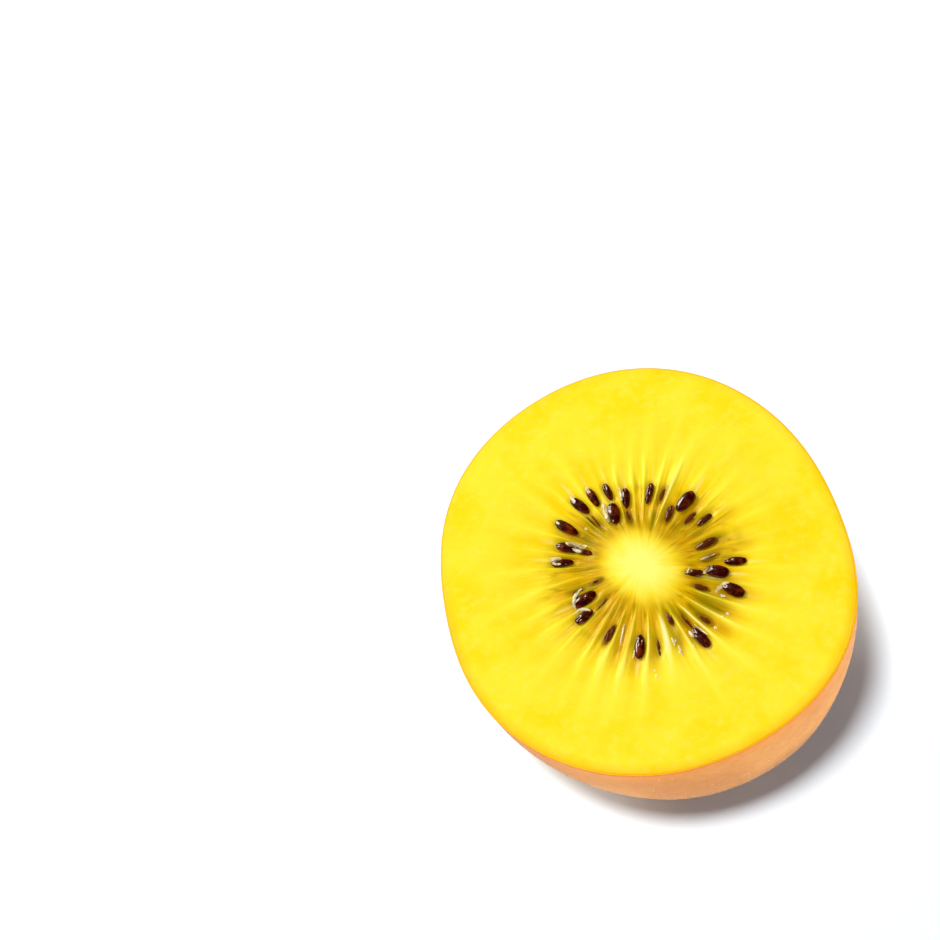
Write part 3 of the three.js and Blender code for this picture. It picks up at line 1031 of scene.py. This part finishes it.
def channel(value):
    """A screen value from 0 to 1 as a linear one."""
    return value / 12.92 if value <= 0.04045 else ((value + 0.055) / 1.055) ** 2.4


def tone(name):
    """A named colour as the linear colour that a shader takes."""
    return tuple(channel(value / 255) for value in TONES[name]) + (1.0,)


class Finish(Tree):
    """A material while its nodes are being built round one Principled shader."""

    def __init__(self, name):
        self.material = bpy.data.materials.new(name)
        self.material.use_nodes = True
        super().__init__(self.material.node_tree)
        self.shader = self.tree.nodes["Principled BSDF"]

    def mark(self, name):
        """A marking kept on the mesh."""
        return self.node("ShaderNodeAttribute", {"attribute_name": name}, None, "Fac")

    def place(self, scale=(1.0, 1.0, 1.0)):
        """Object coordinates in mm, stretched."""
        source = self.node("ShaderNodeTexCoord", None, None, "Object")
        stretch = tuple(s / MM for s in scale)
        return self.node("ShaderNodeMapping", None, {"Vector": source, "Scale": stretch})

    def fruit_place(self):
        """Object coordinates in mm in the fruit's own frame: the core's middle is the origin."""
        source = self.node("ShaderNodeTexCoord", None, None, "Object")
        centred = self.node("ShaderNodeMapping", None, {
            "Vector": source, "Location": Vector(CORE_AT) * -1, "Scale": (1 / MM,) * 3,
        })
        return self.node("ShaderNodeMapping", None, {"Vector": centred, "Rotation": Euler((0, LEAN, 0))})

    def noise(self, vector, scale, detail=2.0, roughness=0.5):
        """Noise from about 0 to 1."""
        return self.node("ShaderNodeTexNoise", None, {
            "Vector": vector, "Scale": scale, "Detail": detail, "Roughness": roughness,
        })

    def mix(self, share, first, second):
        """From the first colour at 0 to the second at 1."""
        return self.node("ShaderNodeMix", {"data_type": "RGBA"}, {0: share, 6: first, 7: second}, 2)

    def layered(self, colour, layers):
        """Lays the colour of each marking over those before it."""
        for name, strength, shade in layers:
            colour = self.mix(self.mark(name) * strength, colour, tone(shade))
        return colour

    def bump(self, height, distance, strength=1.0):
        inputs = {"Height": height, "Distance": distance * MM, "Strength": strength}
        return self.node("ShaderNodeBump", None, inputs)

    def finish(self, **sockets):
        """Sets or links the shader's sockets; an underscore stands for a space in a socket's name."""
        for name, value in sockets.items():
            self.feed(self.shader.inputs[name.replace("_", " ")], value)
        return self.material


# Markings of the cut face, from the lowest to the topmost: (marking, strength, colour)
UNDER_RAYS = (
    ("gold", 0.5, "gold"),
    ("amber", 0.92, "amber"),
    ("patch", 0.45, "ochre"),
    ("olive", 0.82, "olive"),
    ("fibres", 0.5, "brown fibre"),
    ("threads", 0.42, "bright thread"),
    # painted shade round the seeds
    ("shade", 0.5, "seed shade"),
    ("smudge", 0.8, "dark smudge"),
)
OVER_RAYS = (
    # painted highlights beyond the seeds
    ("seed_end_highlights", 0.5, "seed end highlight"),
    ("core", 1.0, "core cream"),
    ("rind", 1.0, "orange rind"),
)


def flesh_colour(finish, place):
    """Clouded yellow with the markings of the cut face over it."""
    clouds = finish.noise(place, 0.16, 3.0)
    flecks = finish.noise(place, 0.9)
    ray = finish.mark("ray")
    ray_colour = finish.mix(rise(ray, 0.45, 0.95), tone("ray yellow"), tone("ray cream"))
    colour = finish.mix(rise(clouds, 0.38, 0.68), tone("lemon"), tone("ripe yellow"))
    colour = finish.mix(rise(flecks, 0.45, 0.75) * 0.35, colour, tone("pale fleck"))
    colour = finish.layered(colour, UNDER_RAYS)
    colour = finish.mix(ray * 0.95, colour, ray_colour)
    colour = finish.mix(smaller(finish.mark("far_ray") * 1.3, 0.75), colour, tone("far ray"))
    return finish.layered(colour, OVER_RAYS)


def golden_flesh():
    """Wet yellow flesh: a cream core, amber and olive seed hollows, pale rays and threads."""
    finish = Finish("golden_flesh")
    place = finish.place()
    grain = finish.noise(place, 2.6, 3.0)
    return finish.finish(
        Base_Color=flesh_colour(finish, place),
        Roughness=0.24 + 0.12 * grain,
        Normal=finish.bump(grain, 0.04, 0.4),
        IOR=1.33,
        Specular_Tint=(1.0, 0.9, 0.2, 1.0),
        Subsurface_Weight=0.2,
        Subsurface_Radius=(1.0, 0.7, 0.15),
        Subsurface_Scale=0.9 * MM,
    )


# The skin's lighter peach near the cut is partly painted sheen and its darker bronze lower down partly
# painted shade; the rest is its own colour.
BRONZE_DEPTHS = (12.0, 26.0)    # peach turns to bronze between these depths below the cut
WARM_HEIGHTS = (-4.0, 0.4)      # heights over which the peach grows warmer towards the cut
EDGE_HEIGHTS = (-0.85, -0.4)    # heights over which it turns orange beside the cut


def bronze_skin():
    """Thin skin: peach towards the cut, bronze, mottled and dotted below, and yellow where it is cut. The
    lighter peach above is partly painted sheen and the darker bronze below partly painted shade.
    """
    finish = Finish("bronze_skin")
    place = finish.place()
    _, _, up = finish.parts(finish.fruit_place())
    clouds = finish.noise(place, 0.07, 3.0)
    mottle = finish.noise(place, 0.8, 4.0, 0.65)
    grain = finish.noise(place, 3.0)
    pores = finish.node("ShaderNodeTexVoronoi", None, {"Vector": place, "Scale": 2.1})
    # darker bronze lower down, partly painted shade
    lower = rise(clouds * 6 - up, *BRONZE_DEPTHS)
    cloudy = rise(clouds, 0.35, 0.7)
    peach = finish.mix(cloudy, tone("light peach"), tone("dark peach"))
    bronze = finish.mix(cloudy, tone("light bronze"), tone("dark bronze"))
    colour = finish.mix(lower, peach, bronze)
    colour = finish.mix(rise(mottle, 0.4, 0.72) * (0.15 + 0.4 * lower), colour, tone("brown mottle"))
    dots = fall(pores, 0.12, 0.34) * (0.2 + 0.35 * lower)
    colour = finish.mix(dots, colour, tone("pale pore"))
    colour = finish.mix(rise(up + clouds * 2, *WARM_HEIGHTS) * 0.6, colour, tone("warm peach"))
    colour = finish.mix(rise(up, *EDGE_HEIGHTS), colour, tone("orange edge"))
    colour = finish.mix(rise(finish.mark("inset"), 0.0, 0.3), colour, tone("cut skin"))
    return finish.finish(
        Base_Color=colour,
        Roughness=0.42 + 0.25 * mottle,
        Normal=finish.bump(mottle + grain * 0.7, 0.09, 0.6),
        Specular_IOR_Level=0.3,
        Specular_Tint=(1.0, 0.8, 0.55, 1.0),
        Subsurface_Weight=0.12,
        Subsurface_Radius=(1.0, 0.4, 0.1),
        Subsurface_Scale=0.8 * MM,
    )


def gold_specks():
    """Dry, pale gold specks on the skin."""
    finish = Finish("gold_specks")
    tint = finish.noise(finish.place(), 0.5)
    colour = finish.mix(rise(tint, 0.35, 0.65), tone("pale speck"), tone("gold speck"))
    return finish.finish(Base_Color=colour, Roughness=0.6 + 0.2 * tint)


def dark_seed():
    """Glossy maroon seed coat; where a seed lies under the pulp it is brown and fades into the flesh."""
    finish = Finish("dark_seed")
    place = finish.place()
    tint = finish.noise(place, 0.9)
    sunk = finish.mark("sunk")
    waterline = finish.mark("waterline")
    bare = rise((finish.mark("crown") - waterline) / (1 - waterline), 0.0, 0.7)
    coat = finish.mix(rise(tint, 0.48, 0.75), tone("maroon"), tone("red brown"))
    colour = finish.mix(sunk, coat, tone("sunk brown"))
    colour = finish.mix(smaller((1 - bare) * sunk * 1.7, 1.0), colour, tone("sunk edge"))
    fine = finish.noise(place, 5.0, 3.0)
    return finish.finish(
        Base_Color=colour,
        Roughness=0.34 + 0.3 * sunk + 0.1 * fine,
        Normal=finish.bump(fine, 0.06, 0.5),
        Specular_IOR_Level=0.25,
        Specular_Tint=(1.0, 0.6, 0.35, 1.0),
        Coat_Weight=larger(1 - sunk * 1.25, 0.0),
        Coat_IOR=1.6,
        Coat_Roughness=0.16,
    )


def wet_pulp():
    """Pale, wet pulp that the flesh and the seeds show through; its cream colour is partly painted
    highlight.
    """
    finish = Finish("wet_pulp")
    place = finish.place()
    tint = finish.noise(place, 1.5)
    colour = finish.mix(rise(tint, 0.35, 0.65), tone("pulp"), tone("pale pulp"))
    return finish.finish(
        Base_Color=colour,
        Roughness=0.12 + 0.1 * tint,
        Alpha=rise(finish.noise(place, 1.0, 1.0), 0.32, 0.6) * 0.6 + 0.2,
        Normal=finish.bump(finish.noise(place, 3.0), 0.05, 0.15),
        Specular_IOR_Level=0.9,
    )


def clear_juice():
    """Clear juice, seen as pale glossy beads; their pale colour is partly painted glint."""
    finish = Finish("clear_juice")
    tint = finish.noise(finish.place(), 2.0)
    colour = finish.mix(tint, tone("juice"), tone("pale juice"))
    return finish.finish(
        Base_Color=colour, Roughness=0.05 + 0.05 * tint, Alpha=0.35 + 0.3 * tint, Specular_IOR_Level=0.8,
    )


def dry_wood():
    """Dry brown fibre of the stem scar."""
    finish = Finish("dry_wood")
    grain = finish.noise(finish.place((1.0, 1.0, 3.0)), 1.8, 4.0, 0.7)
    colour = finish.mix(rise(grain, 0.35, 0.65), tone("dark wood"), tone("light wood"))
    return finish.finish(Base_Color=colour, Roughness=0.75 + 0.15 * grain, Normal=finish.bump(grain, 0.2))


def pale_floor():
    finish = Finish("pale_floor")
    cloud = finish.noise(finish.place(), 0.01)
    colour = finish.mix(cloud, tone("floor"), tone("pale floor"))
    return finish.finish(Base_Color=colour, Roughness=0.85, Specular_IOR_Level=0.1)


# ---- the studio ----


def floor():
    half = 3.0
    corners = [(-half, -half, 0), (half, -half, 0), (half, half, 0), (-half, half, 0)]
    plane = new_piece("floor", corners, [(0, 1, 2, 3)], pale_floor())


def aimed(thing, place, target):
    """Puts a light at a place, facing a target."""
    thing.location = place
    thing.rotation_mode = "QUATERNION"
    thing.rotation_quaternion = (Vector(target) - Vector(place)).to_track_quat("-Z", "Y")
    bpy.context.scene.collection.objects.link(thing)


# Softboxes: (name, direction from the fruit, distance, width and height, power, colour)
SOFTBOXES = (
    ("left_softbox", (-0.7, 0.56, 0.42), 0.9, (0.4, 0.4), 6.6, (1.0, 0.94, 0.82)),
    ("front_softbox", (0.22, -1.0, 0.06), 1.0, (0.7, 0.12), 4.4, (0.95, 1.0, 1.08)),
    ("right_softbox", (0.95, 0.15, 0.06), 1.0, (0.4, 0.12), 6.8, (0.95, 1.0, 1.08)),
)


def softbox(name, towards, distance, size, power, colour):
    """An oblong light at a distance from the fruit, in a direction from it."""
    lamp = bpy.data.lights.new(name, "AREA")
    lamp.shape = "RECTANGLE"
    lamp.size, lamp.size_y = size
    lamp.energy = power
    lamp.color = colour
    middle = Vector((0, 0, 0.02))
    aimed(bpy.data.objects.new(name, lamp), middle + Vector(towards).normalized() * distance, middle)


def key_light():
    """A soft light from above, a little from the front and the left; its own glint stays hidden."""
    sun = bpy.data.lights.new("key", "SUN")
    sun.energy = 3.0
    sun.angle = math.radians(8)
    key = bpy.data.objects.new("key", sun)
    key.visible_glossy = False
    aimed(key, Vector((-0.16, -0.265, 1.0)), (0, 0, 0))


def pale_room():
    """Dim, cool light from all round, which fills the shadow."""
    world = bpy.data.worlds.new("pale_room")
    bpy.context.scene.world = world
    world.use_nodes = True
    backdrop = world.node_tree.nodes["Background"]
    backdrop.inputs["Color"].default_value = (0.55, 1.0, 1.4, 1.0)
    backdrop.inputs["Strength"].default_value = 0.08
    world.cycles_visibility.glossy = False


def studio():
    """A floor in a pale room, a key light and softboxes at the left, in front and at the right."""
    floor()
    pale_room()
    key_light()
    for box in SOFTBOXES:
        softbox(*box)
    bpy.context.scene.view_settings.view_transform = "Standard"


# ---- the camera ----

CAMERA_ELEVATION = math.radians(61.68)
FOCAL_PIXELS = 3229.0
FRAME_PIXELS = 940
AIM_PIXEL = (642.3, 566.4)      # where the middle of the core is seen
CAMERA_DISTANCE = 0.4           # to the core's middle, along the camera's own axis
SENSOR = 36.0
AIM_STEPS = 40                  # far more than the aim needs to settle


def picture_axes(sight, level_side, level_up, forward):
    """The side and up directions of a camera that looks forward, turned there from the line of sight
    without a roll."""
    turn = sight.rotation_difference(forward)
    return turn @ level_side, turn @ level_up


def aimed_axes(sight, across, over):
    """The side, up and forward directions of a camera that shows the line of sight this far across and
    over the middle of its picture."""
    level_side = sight.cross(Vector((0, 0, 1))).normalized()
    level_up = level_side.cross(sight)
    forward = (sight - level_side * across - level_up * over).normalized()
    for _ in range(AIM_STEPS):
        side, up = picture_axes(sight, level_side, level_up, forward)
        near = sight.dot(forward)
        off_side = sight.dot(side) / near - across
        off_up = sight.dot(up) / near - over
        forward = (forward + side * off_side + up * off_up).normalized()
    side, up = picture_axes(sight, level_side, level_up, forward)
    return side, up, forward


def camera():
    """Looks down on the cut, with the core's middle off the middle of the picture."""
    across = (AIM_PIXEL[0] - FRAME_PIXELS / 2) / FOCAL_PIXELS
    over = (FRAME_PIXELS / 2 - AIM_PIXEL[1]) / FOCAL_PIXELS
    sight = Vector((0, math.cos(CAMERA_ELEVATION), -math.sin(CAMERA_ELEVATION)))
    side, up, forward = aimed_axes(sight, across, over)
    lens = bpy.data.cameras.new("camera")
    lens.sensor_width = SENSOR
    lens.lens = FOCAL_PIXELS / FRAME_PIXELS * SENSOR
    lens.clip_start = 0.01
    viewer = bpy.data.objects.new("camera", lens)
    bpy.context.scene.collection.objects.link(viewer)
    distance = CAMERA_DISTANCE * math.sqrt(1 + across ** 2 + over ** 2)
    turn = Matrix((side, up, -forward)).transposed()
    viewer.matrix_world = Matrix.Translation(Vector(CORE_AT) * MM - sight * distance) @ turn.to_4x4()
    bpy.context.scene.camera = viewer


# ---- the part ----


def main():
    """Makes the pieces, each listed with a slot that is not used, hangs them on the root body, then makes
    the studio and the camera.
    """
    flesh = flesh_piece(golden_flesh())
    skin = skin_piece(bronze_skin())
    pieces = (
        (flesh, "flesh"),
        (skin, "skin"),
        (skin_specks_piece(skin, gold_specks()), "skin"),
        (seeds_piece(dark_seed()), "seeds"),
        (pulp_bits_piece(wet_pulp()), "flesh"),
        (juice_beads_piece(clear_juice()), "flesh"),
        (stem_scar_piece(dry_wood()), "skin"),
    )
    for piece, slot in pieces:
        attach(piece, "root")
        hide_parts("kiwi_half")
    studio()
    camera()


main()
